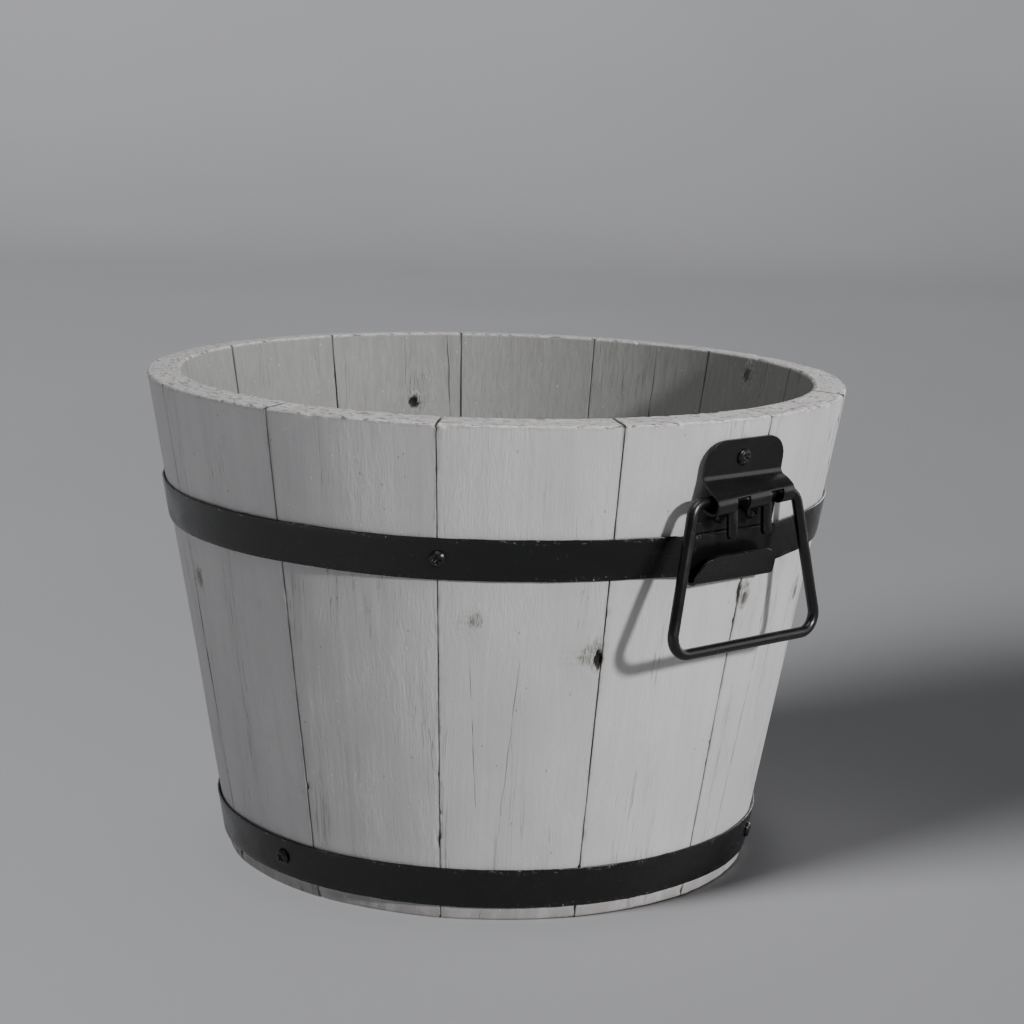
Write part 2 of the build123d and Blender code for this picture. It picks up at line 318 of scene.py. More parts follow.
def block(length_places, half, depth, radius, end_radius, wide, deep):
    """Closed rounded block as (across, depth, share of its length) points, and its faces."""
    turn = np.radians(np.linspace(0, 90, CORNER_STEPS + 1))
    inset = end_radius * (1 - np.cos(turn))
    reach = end_radius * (1 - np.sin(turn))
    along = np.concatenate([reach[::-1], length_places[1:-1], length_places[-1] - reach])
    insets = np.concatenate([inset[::-1], np.zeros(len(length_places) - 2), inset])
    share = along / length_places[-1]
    rings = block_rings(half(share), depth, radius(share), insets, wide, deep)
    across, depths, n_wide, n_deep = rings
    rows, ring = across.shape
    points = joined(across, depths, np.repeat(share[:, None], ring, 1)).reshape(-1, 3)
    faces = loop_faces(rows, ring)
    for first, flip in ((0, False), ((rows - 1) * ring, True)):
        index = cap_grid(first + np.arange(ring), n_wide, n_deep, len(points))
        points = np.concatenate([points, cap_points(points, index)])
        faces += [f if flip else f[::-1] for f in grid_faces(index)]
    return points, faces


# ------ staves
def split_distance(x, z, middle, inside_face):
    """Signed distance to the nearest split and its width there, zero past its ends."""
    distance, width = np.full_like(x, NO_SPLIT), np.zeros_like(x)
    for number, (azimuth, low, high, wide, lean, inside) in enumerate(SPLITS):
        run = (z - low) / (high - low)
        wander = 0.8 * fractal(z / 16, np.full_like(z, number + 0.5), SPLIT_SEED + number)
        centre = across_wall(azimuth, middle, (low + high) / 2) + lean * (run - 0.5) + wander
        belly = np.sqrt(np.clip(4 * run * (1 - run), 0, 1))
        here = wide * belly * (0.65 + 0.5 * lattice(z / 7, z * 0, number))
        here = np.where((inside_face > 0.5) == inside, np.maximum(here, 0), 0)
        nearer = (here > 0) & (np.abs(x - centre) < np.abs(distance))
        distance = np.where(nearer, x - centre, distance)
        width = np.where(nearer, here, width)
    return distance, width


def knots_in(x, z, outer, inner, middle, half_angle, seed):
    """Grain bent round the knots, their relief, and masks of knots and holes."""
    grain_x = x.copy()
    relief, knot_mask, hole_mask = np.zeros((3, len(x)))
    for azimuth, knot_z, radius, hole, tall, within in KNOTS:
        offset = across_wall(azimuth, middle, knot_z)
        if abs(offset) > half_angle * wall_radius(knot_z) + 0.6 * radius:
            continue
        on_face = inner if within else outer
        dx, dz = x - offset, z - knot_z
        wobble = 1 + 0.16 * lattice(np.arctan2(dz, dx) * 1.3 + 9, x * 0, seed + 5)
        reach = np.hypot(dx, dz / tall) * wobble
        bow = np.exp(-((dz / (2.6 * radius)) ** 2)) * np.exp(-np.abs(dx) / (1.6 * radius))
        grain_x -= 0.9 * radius * np.sign(dx) * bow * on_face
        from_hole = np.hypot(dx - 0.15 * radius, dz / tall + 0.2 * radius) * wobble
        pit = hole * fade(0.62 * radius, 0.30 * radius, from_hole)
        ripple = 0.16 * np.cos(reach * 4.2) * fade(2.1 * radius, 0.7 * radius, reach)
        ring = -0.30 * np.exp(-(((reach - radius) / 0.8) ** 2))
        swell = 0.55 * np.exp(-((reach / (1.8 * radius)) ** 2))
        feather = fade(3.4 * radius, 0.6 * radius, -dx) * (dx < 0) * np.exp(-((dz / radius) ** 2))
        waves = np.cos(1.7 * dz + 2.2 * lattice(dx / 4 + 7, dz / 9, seed + 11))
        relief += (ripple + ring + swell - pit + 0.22 * feather * waves) * on_face
        mask = np.maximum(fade(1.05 * radius, 0.75 * radius, reach), 0.3 * feather * (1 - waves))
        knot_mask = np.maximum(knot_mask, mask * on_face)
        hole_mask = np.maximum(hole_mask, fade(0.15, 0.7, pit) * on_face)
    return grain_x, relief, knot_mask, hole_mask


def sawn_face(x, z, grain_x, shift, seed):
    """Low relief of a sawn and weathered face."""
    planks = fractal((grain_x + shift) / 3.1, z / 120 + 3, seed + 2, 2)
    brushed = fractal((grain_x + shift) / 1.3, z / 60, seed + 3, 2)
    swell = fractal(x / 26 + shift, z / 60, seed + 4, 2)
    return 0.07 * planks + 0.03 * brushed + 0.26 * swell


def worn_places(x, d, z, edge, below_top, faces, chipped, seed):
    """Where the paint has gone: along the arrises, round the rim and at the foot."""
    from_rim = np.minimum(np.hypot(below_top, d), np.hypot(below_top, THICKNESS - d))
    rim = fade(3.4, 0.6, from_rim) * fade(-0.5, 0.5, fractal(x / 4, d / 4 + 9, seed + 13))
    arrises = fade(2.6, 0.2, edge) * faces * (0.45 + 0.75 * fractal(x / 5, z / 14, seed + 10))
    foot = fade(5, 1, z) * fade(-0.3, 0.5, fractal(x / 6, z / 5, seed + 14))
    worn = np.maximum(arrises, np.maximum(rim, foot))
    return np.clip(worn + 1.2 * chipped * fade(4, 0, edge), 0, 1)


def seam_shade_and_dirt(x, d, z, edge, below_top, number, seed):
    """Painted shade, with some dirt, in the joints at a stave's sides, down its faces and across
    the rim.
    """
    dark = np.where(x < 0, SEAM_DARK[number - 1], SEAM_DARK[number % len(SEAM_DARK)])
    broken = fade(-0.8, 0.2, fractal(z / 19, d / 30, seed + 12))
    down_face = 0.85 * dark * fade(0.7, 0.1, edge) * broken
    return np.maximum(down_face, 0.9 * fade(1, 0.3, edge) * fade(2, 0.8, below_top))


def stave(number, start, end, wood):
    """One stave: a tapered board with soft arrises, raised grain, knots, splits and knocks."""
    middle, half_angle = (start + end) / 2, math.radians(end - start) / 2
    seed = STAVE_SEED + SEED_STEP * number
    rng = np.random.default_rng(seed)
    top_offset, face_offset = rng.uniform(-0.25, 0.1), rng.uniform(-0.15, 0.1)
    flat = rng.uniform(0.3, 0.8)

    def half(share):
        z = share * RIM_HEIGHT
        return half_angle * wall_radius(z) - SEAM_GAP - 0.07 * lattice(z / 23, z * 0, seed)

    def arris(share):
        z = share * RIM_HEIGHT
        wander = 0.35 * fractal(z / 11, z * 0 + 3.5, seed + 1)
        return (ARRIS + wander) * (1 - 0.55 * fade(14, 2, RIM_HEIGHT - z))

    near_end = np.array([0, 2.4, 3.4])
    rows = np.linspace(5, RIM_HEIGHT - 5, STAVE_ROWS)
    places = np.concatenate([near_end, rows, RIM_HEIGHT - near_end[::-1]])
    points, faces = block(places, half, THICKNESS, arris, END_ROUNDING, STAVE_WIDE, STAVE_DEEP)
    x, d, share = points.T
    top = RIM_HEIGHT + top_offset + RIM_RISE * d / THICKNESS
    z = share * top
    edge = half(share) - np.abs(x)
    side = np.sign(x)

    outer, inner = fade(3.5, 0.5, d), fade(THICKNESS - 3.5, THICKNESS - 0.5, d)
    crown = fade(3, 0.4, top - z)
    under_upper = fade(24, 14, np.abs(z - UPPER_HOOP_Z - HOOP_HEIGHT / 2))
    under_lower = fade(22, 13, np.abs(z - LOWER_HOOP_Z - HOOP_HEIGHT / 2))
    pressed = 1 - 0.8 * np.maximum(under_upper, under_lower) * outer
    inside = np.where(inner > 0.5, 1, 0)

    grain_x, relief, knot_mask, hole = knots_in(x, z, outer, inner, middle, half_angle, seed)
    relief -= flat * (1 - (x / half(share)) ** 2) * outer
    sawn = sawn_face(x, z, grain_x, INNER_SHIFT * inside, seed)
    relief += (sawn + face_offset - 0.1) * pressed
    distance, width = split_distance(x, z, middle, inner)
    relief -= 0.5 * width * np.exp(-((distance / 0.9) ** 2))

    chipped = fractal(z / 6 + 50 * side, side * 7 + d / 9, seed + 6, 3) + 0.4 * fade(10, 4, z)
    chipped = np.clip(chipped - 0.42, 0, 1)
    knocks = 3.2 * chipped * fade(3.2, 0, edge) * (outer + 0.5 * inner)
    rim_knocks = 3.2 * np.clip(fractal(x / 7, d / 40 + 2, seed + 7, 3) - 0.28, 0, 1)
    rim_knocks = rim_knocks * np.maximum(outer, inner)

    d = d - relief * outer + relief * inner
    d = d + knocks * outer * 0.6 + 0.5 * rim_knocks * crown * outer
    x = x - side * knocks * fade(2.6, 0, edge) * 0.5
    z = z - crown * (rim_knocks + 0.2 * fractal(x / 3.2, d / 3.2, seed + 8, 3) + 0.1)
    foot_knocks = 1.6 * np.clip(fractal(x / 5, d / 9, seed + 9, 3) - 0.35, 0, 1)
    z = z + fade(3, 0.4, z) * (0.15 + foot_knocks)

    angle = np.radians(middle) + x / wall_radius(z)
    placed = around(wall_radius(z) - d, angle, z)
    worn = worn_places(x, d, z, edge, top - z, outer + inner, chipped, seed)
    # Painted shade in the knot holes and in the joints between staves, with some dirt
    shade_and_dirt = np.maximum(hole, seam_shade_and_dirt(x, d, z, edge, top - z, number, seed))
    on_top = fade(1.1, 0.4, top - 1.2 * crown - z)
    offset = rng.uniform(0, 400, 3)
    attributes = {
        "grain": joined(grain_x + offset[0], d + offset[1], z + offset[2]),
        "marks": joined(distance, width, knot_mask),
        # wear, then painted shade with some dirt in joints and knot holes, then the rim's top
        "wear_and_shade": joined(worn, shade_and_dirt, on_top),
        "place": joined(x, z, inside),
    }
    name, node = f"wood_stave_{number:02d}", f"stave_{number:02d}"
    made = make_piece(name, node, placed, faces, wood, attributes)
    made["tone"] = float(rng.uniform(0, 1))


# ------ bottom
def bottom_radius():
    return wall_radius(CROZE_Z) - THICKNESS + CROZE_DEPTH - BOARD_GAP


def bottom_board(number, low, high, wood):
    """One board of the bottom, cut round at its ends."""
    seed = BOARD_SEED + SEED_STEP * number
    middle, half_width = (low + high) / 2, (high - low) / 2 - 0.25
    across = np.linspace(-half_width, half_width, BOARD_WIDE)
    share = np.linspace(-1, 1, BOARD_ROWS)
    reach = np.sqrt(np.maximum(bottom_radius() ** 2 - (middle + across) ** 2, 30))
    x = np.repeat(across[None, :], len(share), 0)
    y = share[:, None] * reach[None, :]
    edge = np.minimum(half_width - np.abs(x), 4)
    soften = 0.7 * fade(1.3, 0, edge)
    relief = 0.14 * fractal(x / 3.2, y / 110, seed, 2) + 0.22 * fractal(x / 25, y / 70, seed + 1, 2)
    upper = CROZE_Z + BOTTOM_THICKNESS - 0.35 + relief - soften
    lower = CROZE_Z + 0.35 + 0.5 * relief + soften
    points = np.concatenate([joined(x + middle, y, z).reshape(-1, 3) for z in (upper, lower)])
    index = np.arange(x.size).reshape(x.shape)
    rim = grid_rim(index)
    faces = grid_faces(index) + [f[::-1] for f in grid_faces(index + x.size)]
    faces += wall_faces(rim, rim + x.size)

    placed = placed_in(Matrix.Rotation(math.radians(BOARD_AZIMUTH), 4, "Z"), points)
    x, y, z = points.T
    zero = np.zeros_like(x)
    worn = 0.5 * np.tile(fade(2.5, 0.2, edge).ravel(), 2)
    attributes = {
        "grain": joined(x + 37 * number, z, y + 91 * number),
        "marks": joined(zero + NO_SPLIT, zero, zero),
        "wear_and_shade": joined(worn, zero, zero),
        "place": joined(x, zero + 150, zero + 1),
    }
    name, node = f"wood_bottom_{number}", f"bottom_board_{number}"
    make_piece(name, node, placed, faces, wood, attributes)


# ------ hoops
def stretched_radius(azimuths, height):
    """Inner radius of the upper hoop, which runs straight over the brackets."""
    radius = wall_radius(UPPER_HOOP_Z + HOOP_HEIGHT)
    stand_off = radius + SHEET / math.cos(LEAN) + BRACKET_CLEARANCE
    half = BRACKET_HALF + BRACKET_MARGIN
    corner_angle = math.atan2(half, stand_off)
    touch = corner_angle + math.acos(radius / math.hypot(stand_off, half))
    result = np.full_like(azimuths, radius)
    for azimuth in HANDLES.values():
        away = np.radians(np.abs((azimuths - azimuth + 180) % 360 - 180))
        flat = stand_off / np.cos(np.minimum(away, corner_angle))
        slope = radius / np.cos(touch - np.clip(away, corner_angle, touch))
        softened = 0.12 * np.exp(-(((away - corner_angle) / 0.02) ** 2))
        here = np.where(away < corner_angle, flat, slope) - softened
        result = np.maximum(result, np.where(away < touch, here, 0))
    return result * wall_radius(height) / radius


def band_section(rows=9, radius=0.42, steps=3):
    """Outline of flat bar with rounded edges, as (height, thickness) going round."""
    turn = np.radians(np.linspace(0, 90, steps + 1))
    up = np.linspace(radius, HOOP_HEIGHT - radius, rows)
    corner = list(zip(radius * (1 - np.cos(turn)), radius * (1 - np.sin(turn))))
    top, thick = HOOP_HEIGHT, HOOP_THICKNESS
    outline = [(h, thick) for h in up]
    outline += [(top - b, thick - a) for a, b in corner[1:]]
    outline += [(top - a, b) for a, b in corner[1:]]
    outline += [(h, 0) for h in up[-2::-1]]
    outline += [(b, a) for a, b in corner[1:]]
    outline += [(a, thick - b) for a, b in corner[1:-1]]
    return np.array(outline)


def hoop_path(lap_start, lap):
    """Azimuths once round and over the lap, closer where the band steps out."""
    return np.concatenate([
        np.arange(lap_start - 360, lap_start - 0.3, HOOP_STEP),
        np.linspace(lap_start, lap_start + LAP_RAMP, 6),
        np.arange(lap_start + 2.2, lap_start + lap, HOOP_STEP),
        [lap_start + lap],
    ])


def hoop(which, metal, lap_end, lap, base_z, seed, inner_radius):
    """A band that runs once round the tub and laps over its own start."""
    lap_start = lap_end - lap
    path = hoop_path(lap_start, lap)
    outline = band_section()
    ring = len(outline)
    azimuth = np.repeat(path[:, None], ring, 1)
    height, thick = (np.broadcast_to(column, azimuth.shape) for column in outline.T)
    turn = np.radians(azimuth)

    from_end = np.radians(np.minimum(path - path[0], path[-1] - path))[:, None] * HOOP_MEAN_RADIUS
    shrink = fade(1.2, 0, from_end)
    off_middle = (height - HOOP_HEIGHT / 2) * (1 - 0.06 * shrink)
    height = HOOP_HEIGHT / 2 + off_middle
    thick = HOOP_THICKNESS / 2 + (thick - HOOP_THICKNESS / 2) * (1 - 0.5 * shrink)
    step = fade(lap_start, lap_start + LAP_RAMP, azimuth) * (HOOP_THICKNESS + LAP_GAP)

    round_x, round_y = np.cos(turn) * 9 + 20, np.sin(turn) * 9 + 20
    ragged = 0.12 * fractal(round_x * 4, round_y * 4, seed + 4)
    z = base_z + height + 0.35 * fractal(round_x / 3, round_y / 3, seed)
    z += 0.12 * lattice(round_x * 3, round_y * 3, seed + 1)
    z += ragged * np.sign(off_middle) * fade(8, 11, np.abs(off_middle))
    dents = 0.10 * fractal(round_x * 2.2, round_y * 2.2 + height / 9, seed + 2)
    dents += 0.22 * fractal(round_x * 0.5, round_y * 0.5, seed + 3)
    placed = around(inner_radius(azimuth, z) + thick + step + dents, turn, z).reshape(-1, 3)
    faces = [f[::-1] for f in loop_faces(len(path), ring)]
    last = (len(path) - 1) * ring
    faces += [list(range(ring)), list(range(last, last + ring))[::-1]]
    worn = fade(1.6, 0.2, np.minimum(height, HOOP_HEIGHT - height))
    attributes = {
        "grain": joined(turn * HOOP_MEAN_RADIUS, height, thick).reshape(-1, 3),
        "wear_and_shade": joined(worn, 0 * worn, 0 * worn).reshape(-1, 3),
    }
    name, node = f"hoop_band_{which}", f"{which}_hoop"
    make_piece(name, node, placed, faces, metal, attributes)


# ------ brackets
def wall_frame(azimuth, height, lean=LEAN, radius=None):
    """Matrix with x level to the right, y up the slope and z straight out."""
    a = math.radians(azimuth)
    r = wall_radius(height) if radius is None else radius
    across = Vector((math.cos(a), math.sin(a), 0))
    out = Vector((math.sin(a) * math.cos(lean), -math.cos(a) * math.cos(lean), -math.sin(lean)))
    up = out.cross(across)
    made = Matrix((across, up, out)).transposed().to_4x4()
    made.translation = (r * math.sin(a), -r * math.cos(a), height)
    return made


def rounded_path(corners, radii, arc_step, straight_step):
    """Points along straight runs joined by arcs, every arc_step degrees or straight_step mm."""
    corners = [np.array(c, float) for c in corners]
    points = [corners[0]]
    for before, corner, after, radius in zip(corners, corners[1:], corners[2:], radii):
        a, b = before - corner, after - corner
        a, b = a / np.linalg.norm(a), b / np.linalg.norm(b)
        opening = math.acos(np.clip(a @ b, -1, 1))
        cut = radius / math.tan(opening / 2)
        centre = corner + (a + b) / np.linalg.norm(a + b) * radius / math.sin(opening / 2)
        start, end = corner + a * cut, corner + b * cut
        points += straight(points[-1], start, straight_step)
        swing = math.pi - opening
        count = max(2, math.ceil(math.degrees(swing) / arc_step))
        p, q = (start - centre) / radius, (end - centre) / radius
        for k in range(1, count + 1):
            t = k / count
            w = (math.sin((1 - t) * swing) * p + math.sin(t * swing) * q) / math.sin(swing)
            points.append(centre + radius * w)
    return np.array(points + straight(points[-1], corners[-1], straight_step))


def straight(start, end, step):
    """Points from just after start up to end."""
    count = max(1, math.ceil(np.linalg.norm(end - start) / step))
    return [start + (end - start) * k / count for k in range(1, count + 1)]


def run_along(path):
    """Distance along a path at each of its points."""
    return np.concatenate([[0], np.cumsum(np.linalg.norm(np.diff(path, axis=0), axis=1))])


def pivot_stand_off():
    """How far the handle's pivot is from the wall, square to it."""
    out, up = PIVOT_RADIUS - wall_radius(BRACKET_Z), PIVOT_HEIGHT - BRACKET_Z
    return out * math.cos(LEAN) - up * math.sin(LEAN)


def bracket_path():
    """Middle line of the folded sheet as (up, out) points."""
    middle = SHEET / 2
    lip_root = middle + 2 * LIP_BEND
    corners = [
        (PLATE_TOP, middle), (FLARE_TOP, middle), (FOLD_CREST, FOLD_FRONT),
        (FOLD_FOOT, FOLD_FRONT), (FOLD_FOOT, middle), (LIP_FOOT, middle), (LIP_FOOT, lip_root),
        (LIP_FOOT + LIP_BEND + 1.2, lip_root), (LIP_TOP, LIP_OUT),
    ]
    radii = FOLD_RADII + (LIP_BEND - 0.3, LIP_BEND - 0.3, 6)
    return rounded_path(corners, radii, 7.5, 1.5)


def bracket_rows():
    """(up, out) of each row of the strip's mesh, and half its width there."""
    path = bracket_path()
    run = run_along(path)
    crowded = np.linspace(0, 1, 8) ** 2
    ends = np.concatenate([crowded * PLATE_CORNER, run[-1] - crowded * LIP_CORNER])
    rows = np.unique(np.concatenate([run[run > PLATE_CORNER], ends]))
    rows = rows[np.concatenate([[True], np.diff(rows) > 0.12])]

    def corner_half(distance, radius):
        reach = np.clip(radius - distance, 0, radius)
        return BRACKET_HALF - radius + np.sqrt(np.maximum(radius**2 - reach**2, 0))

    half = np.minimum(corner_half(rows, PLATE_CORNER), corner_half(run[-1] - rows, LIP_CORNER))
    return joined(*(np.interp(rows, run, path[:, k]) for k in (0, 1))), half


def bracket_columns():
    """Places across the strip at its full width, with one at each side of each slot."""
    slot_sides = sorted(a + b * SLOT_HALF for a in STUB_PLACES for b in (-1, 1))
    breaks = [-BRACKET_HALF, -SLOT_REACH] + slot_sides + [BRACKET_HALF]
    runs = [np.linspace(a, b, max(3, round((b - a) / 1.2) + 1)) for a, b in zip(breaks, breaks[1:])]
    return np.unique(np.concatenate(runs).round(4))


def across_strip(columns, half):
    """Places across each row. Rounded corners narrow the strip but not its slots."""
    inner_half = np.minimum(SLOT_REACH, 0.8 * half)[:, None]
    share = np.clip((np.abs(columns) - SLOT_REACH) / (BRACKET_HALF - SLOT_REACH), 0, 1)
    within = np.minimum(np.abs(columns) / SLOT_REACH, 1) * inner_half
    return np.sign(columns) * (within + share * (half[:, None] - inner_half))


def bracket(side, azimuth, metal):
    """One folded strip with rounded corners and two slots for the wire's ends."""
    path, half = bracket_rows()
    columns = bracket_columns()
    u = across_strip(columns, half)
    v = np.repeat(path[:, :1], len(columns), 1)
    w = np.repeat(path[:, 1:], len(columns), 1)

    middle_v, middle_w = (path[:-1] + path[1:]).T / 2
    slot_rows = (middle_v < SLOT_TOP) & (middle_v > FOLD_FOOT - 1)
    slot_rows &= middle_w > pivot_stand_off() - WIRE - 0.6
    centres = (columns[:-1] + columns[1:]) / 2
    slot_columns = np.min([np.abs(centres - a) for a in STUB_PLACES], axis=0) < SLOT_HALF
    quads = np.array(grid_faces(np.arange(u.size).reshape(u.shape)))
    quads = quads.reshape(len(path) - 1, len(columns) - 1, 4)
    quads = quads[~(slot_rows[:, None] & slot_columns[None, :])]

    skewed = u * fade(2, 9, w) * (v > FOLD_FOOT - 1)
    v = v + 0.045 * skewed
    w = w - 0.030 * skewed + 0.12 * fractal(u / 14, v / 14, BRACKET_SEED) * fade(5, 25, np.abs(u))
    points = joined(u, v, w).reshape(-1, 3)
    name, node = f"bracket_sheet_{side}", f"bracket_{side}"
    made = make_piece(name, node, points, quads.tolist(), metal)
    turn_faces_out(made.data, join=0.00004)
    place = wall_frame(azimuth, BRACKET_Z)
    place.translation *= 0.001
    made.data.transform(place)
    thick = made.modifiers.new("sheet", "SOLIDIFY")
    thick.thickness, thick.offset = SHEET * 0.001, 0
    soft = made.modifiers.new("edges", "BEVEL")
    soft.width, soft.segments = 0.00035, 2
    soft.limit_method, soft.angle_limit = "ANGLE", math.radians(50)


# ------ wire handles
def tube(path, radius, sides=20):
    """Points and faces of a closed round bar along a path."""
    tangent = np.gradient(path, axis=0)
    tangent /= np.linalg.norm(tangent, axis=1)[:, None]
    normal = np.array([0, 0, 1])
    turn = np.linspace(0, 2 * math.pi, sides, endpoint=False)
    rings = []
    for p, t, r in zip(path, tangent, radius):
        side_way = np.cross(t, normal)
        side_way /= np.linalg.norm(side_way)
        rings.append(p + r * (np.cos(turn)[:, None] * side_way + np.sin(turn)[:, None] * normal))
    points = np.concatenate(rings)
    last = (len(path) - 1) * sides
    faces = loop_faces(len(path), sides)
    faces += [list(range(sides))[::-1], list(range(last, last + sides))]
    return points, faces


def bail(side, azimuth, metal):
    """Trapezoid of round wire with its ends turned in and down."""
    left, right = STUB_PLACES
    corners = [
        (left, -STUB_DROP, 0), (left, 0, 0),
        (-BAIL_TOP_HALF, 0, 0), (-BAIL_FOOT_HALF, -BAIL_DROP, 0),
        (BAIL_FOOT_HALF, -BAIL_DROP, 0), (BAIL_TOP_HALF, 0, 0),
        (right, 0, 0), (right, -STUB_DROP, 0),
    ]
    path = rounded_path(corners, BAIL_RADII, 6, 1.6)
    run = run_along(path)
    rounded = 1 - 0.16 * fade(1.5, 0, np.minimum(run, run[-1] - run))
    radius = WIRE * rounded * (1 + 0.008 * lattice(run / 9, run * 0, WIRE_SEED))
    points, faces = tube(path, radius)
    place = wall_frame(azimuth, PIVOT_HEIGHT, -math.radians(BAIL_HANG), PIVOT_RADIUS)
    points = placed_in(place, points)
    name, node = f"bail_wire_{side}", f"bail_{side}"
    made = make_piece(name, node, points, faces, metal, body=node)
    for end in (-1, -2):
        made.data.polygons[end].use_smooth = False


# ------ screws and rivets
def screw_points(number, size=30):
    """Pan head with a cross recess over a tapered shank. Its underside is the plane z = 0."""
    line = np.linspace(-1, 1, size + 1)
    x, y = np.meshgrid(line, line)
    x, y = x * np.sqrt(1 - y * y / 2), y * np.sqrt(1 - x * x / 2)
    far = np.hypot(x, y)
    turn = math.radians((number * 47) % 90)
    cross_x = SCREW_HEAD * np.abs(x * math.cos(turn) + y * math.sin(turn))
    cross_y = SCREW_HEAD * np.abs(-x * math.sin(turn) + y * math.cos(turn))
    dome = 2.3 - 0.55 * far**2 - 0.85 * fade(0.72, 1, far)
    recess = fade(0.75, 0.35, np.minimum(cross_x, cross_y))
    recess = recess * fade(2.5, 2, np.maximum(cross_x, cross_y))
    bowl = fade(1.5, 0.4, far * SCREW_HEAD)
    height = dome - 1.15 * np.maximum(recess, 0.9 * bowl)
    top = joined(x * SCREW_HEAD, y * SCREW_HEAD, height).reshape(-1, 3)
    index = np.arange(len(top)).reshape(x.shape)
    rim = grid_rim(index)
    shank = SCREW_SHANK / SCREW_HEAD
    rings, faces, previous = [top], grid_faces(index), rim
    for scale, z in (
        (1, 0.45), (0.97, 0.1), (0.93, 0),
        (shank, 0), (shank, -SCREW_SHOULDER), (0.1, -SCREW_LENGTH),
    ):
        current = sum(len(ring) for ring in rings) + np.arange(len(rim))
        rings.append(top[rim] * [scale, scale, 0] + [0, 0, z])
        faces += wall_faces(previous, current)
        previous = current
    faces.append(list(previous))
    return np.concatenate(rings), faces


def rivet_points(depth, sides=28):
    """Low domed head over a shank that ends inside the hoop."""
    head = [(1.2, 1.56), (2.2, 1.42), (3.1, 1.12), (3.8, 0.68), (4.15, 0.3), (4.2, 0)]
    profile = head + [(RIVET_SHANK, 0), (RIVET_SHANK, -depth)]
    turn = np.linspace(0, 2 * math.pi, sides, endpoint=False)
    rings = [joined(r * np.cos(turn), r * np.sin(turn), turn * 0 + z) for r, z in profile]
    points = np.concatenate([[[0, 0, 1.6]]] + rings)
    faces = [[0, 1 + k, 1 + (k + 1) % sides] for k in range(sides)]
    faces += [f[::-1] for f in loop_faces(len(rings), sides, 1)]
    last = 1 + (len(rings) - 1) * sides
    faces.append(list(range(last, last + sides))[::-1])
    return points, faces


def fasteners(name, node, frames, maker, metal):
    """Several like fasteners as one piece."""
    points, faces, start = [], [], 0
    for number, matrix in enumerate(frames):
        own, own_faces = maker(number)
        points.append(placed_in(matrix, own))
        faces += [[i + start for i in f] for f in own_faces]
        start += len(own)
    made = make_piece(name, node, np.concatenate(points), faces, metal)
    turn_faces_out(made.data)


def all_fasteners(screw_metal, steel):
    """Screws of hoops and brackets, and the rivets of the hoops' laps."""
    upper_z, lower_z = UPPER_HOOP_Z + HOOP_HEIGHT / 2, LOWER_HOOP_Z + HOOP_HEIGHT / 2
    screws = [(a, upper_z) for a in UPPER_SCREWS] + [(a, lower_z) for a in LOWER_SCREWS]
    frames = [wall_frame(a, z, radius=wall_radius(z) + HOOP_THICKNESS) for a, z in screws]
    fasteners("hoop_screw_set", "hoop_screws", frames, screw_points, screw_metal)
    for side, azimuth in HANDLES.items():
        wall = wall_frame(azimuth, BRACKET_Z)
        frames = [wall @ Matrix.Translation((x, y, SHEET)) for x, y in BRACKET_SCREWS]
        fasteners(
            f"bracket_screw_set_{side}", f"bracket_screws_{side}", frames,
            lambda n: screw_points(n + 3), screw_metal,
        )
    depth = 2 * HOOP_THICKNESS + LAP_GAP
    rivets = [(UPPER_LAP_END - back, upper_z) for back in UPPER_RIVETS]
    rivets += [(LOWER_LAP_END - back, lower_z) for back in LOWER_RIVETS]
    frames = [wall_frame(a, z, radius=wall_radius(z) + depth / math.cos(LEAN)) for a, z in rivets]
    fasteners(
        "hoop_rivet_set", "hoop_rivets", frames,
        lambda n: rivet_points(depth), steel,
    )


# ------ materials
# Colours, linear
PAINT_DULL, PAINT_BRIGHT = (0.475, 0.457, 0.462), (0.575, 0.558, 0.562)
PAINT_PALE = (0.605, 0.596, 0.598)
BAND_GREY, STREAK_GREY = (0.41, 0.405, 0.40), (0.38, 0.375, 0.375)
DRIP_LIGHT, DRIP_DARK = (0.68, 0.68, 0.68), (0.36, 0.355, 0.355)
INNER_DARK, INNER_LIGHT = (0.21, 0.215, 0.205), (0.25, 0.256, 0.245)
INNER_STAIN = (0.235, 0.218, 0.205)
BARE_DARK, BARE_LIGHT = (0.23, 0.21, 0.19), (0.36, 0.34, 0.31)
KNOT_DARK, KNOT_LIGHT = (0.15, 0.155, 0.135), (0.42, 0.42, 0.39)
END_DARK, END_LIGHT = (0.43, 0.415, 0.405), (0.64, 0.62, 0.61)
# The second is painted shade, for pits and checks in the rim's end grain
FOOT_DARK, PIT_SHADE = (0.24, 0.225, 0.21), (0.10, 0.09, 0.08)
# Painted shade, near black: the first in cracks and splits, the second in joints and knot holes,
# where some dirt lies too
CRACK_SHADE, SHADE_AND_DIRT = (0.075, 0.07, 0.062), (0.015, 0.013, 0.012)
WHITE_SPECK, DARK_SPECK = (0.78, 0.78, 0.78), (0.12, 0.11, 0.10)
HOOP_BLACK, STEEL_BLACK = (0.003, 0.003, 0.0032), (0.0045, 0.0045, 0.0047)
SCREW_BLACK = (0.006, 0.006, 0.007)
SCRATCH_GREY, CHIP_GREY, FLECK_WHITE = (0.10, 0.10, 0.105), (0.26, 0.25, 0.24), (0.5, 0.5, 0.49)
PAPER_DARK, PAPER_LIGHT = (0.385, 0.387, 0.40), (0.415, 0.417, 0.43)
SKY = (0.86, 0.88, 0.92)


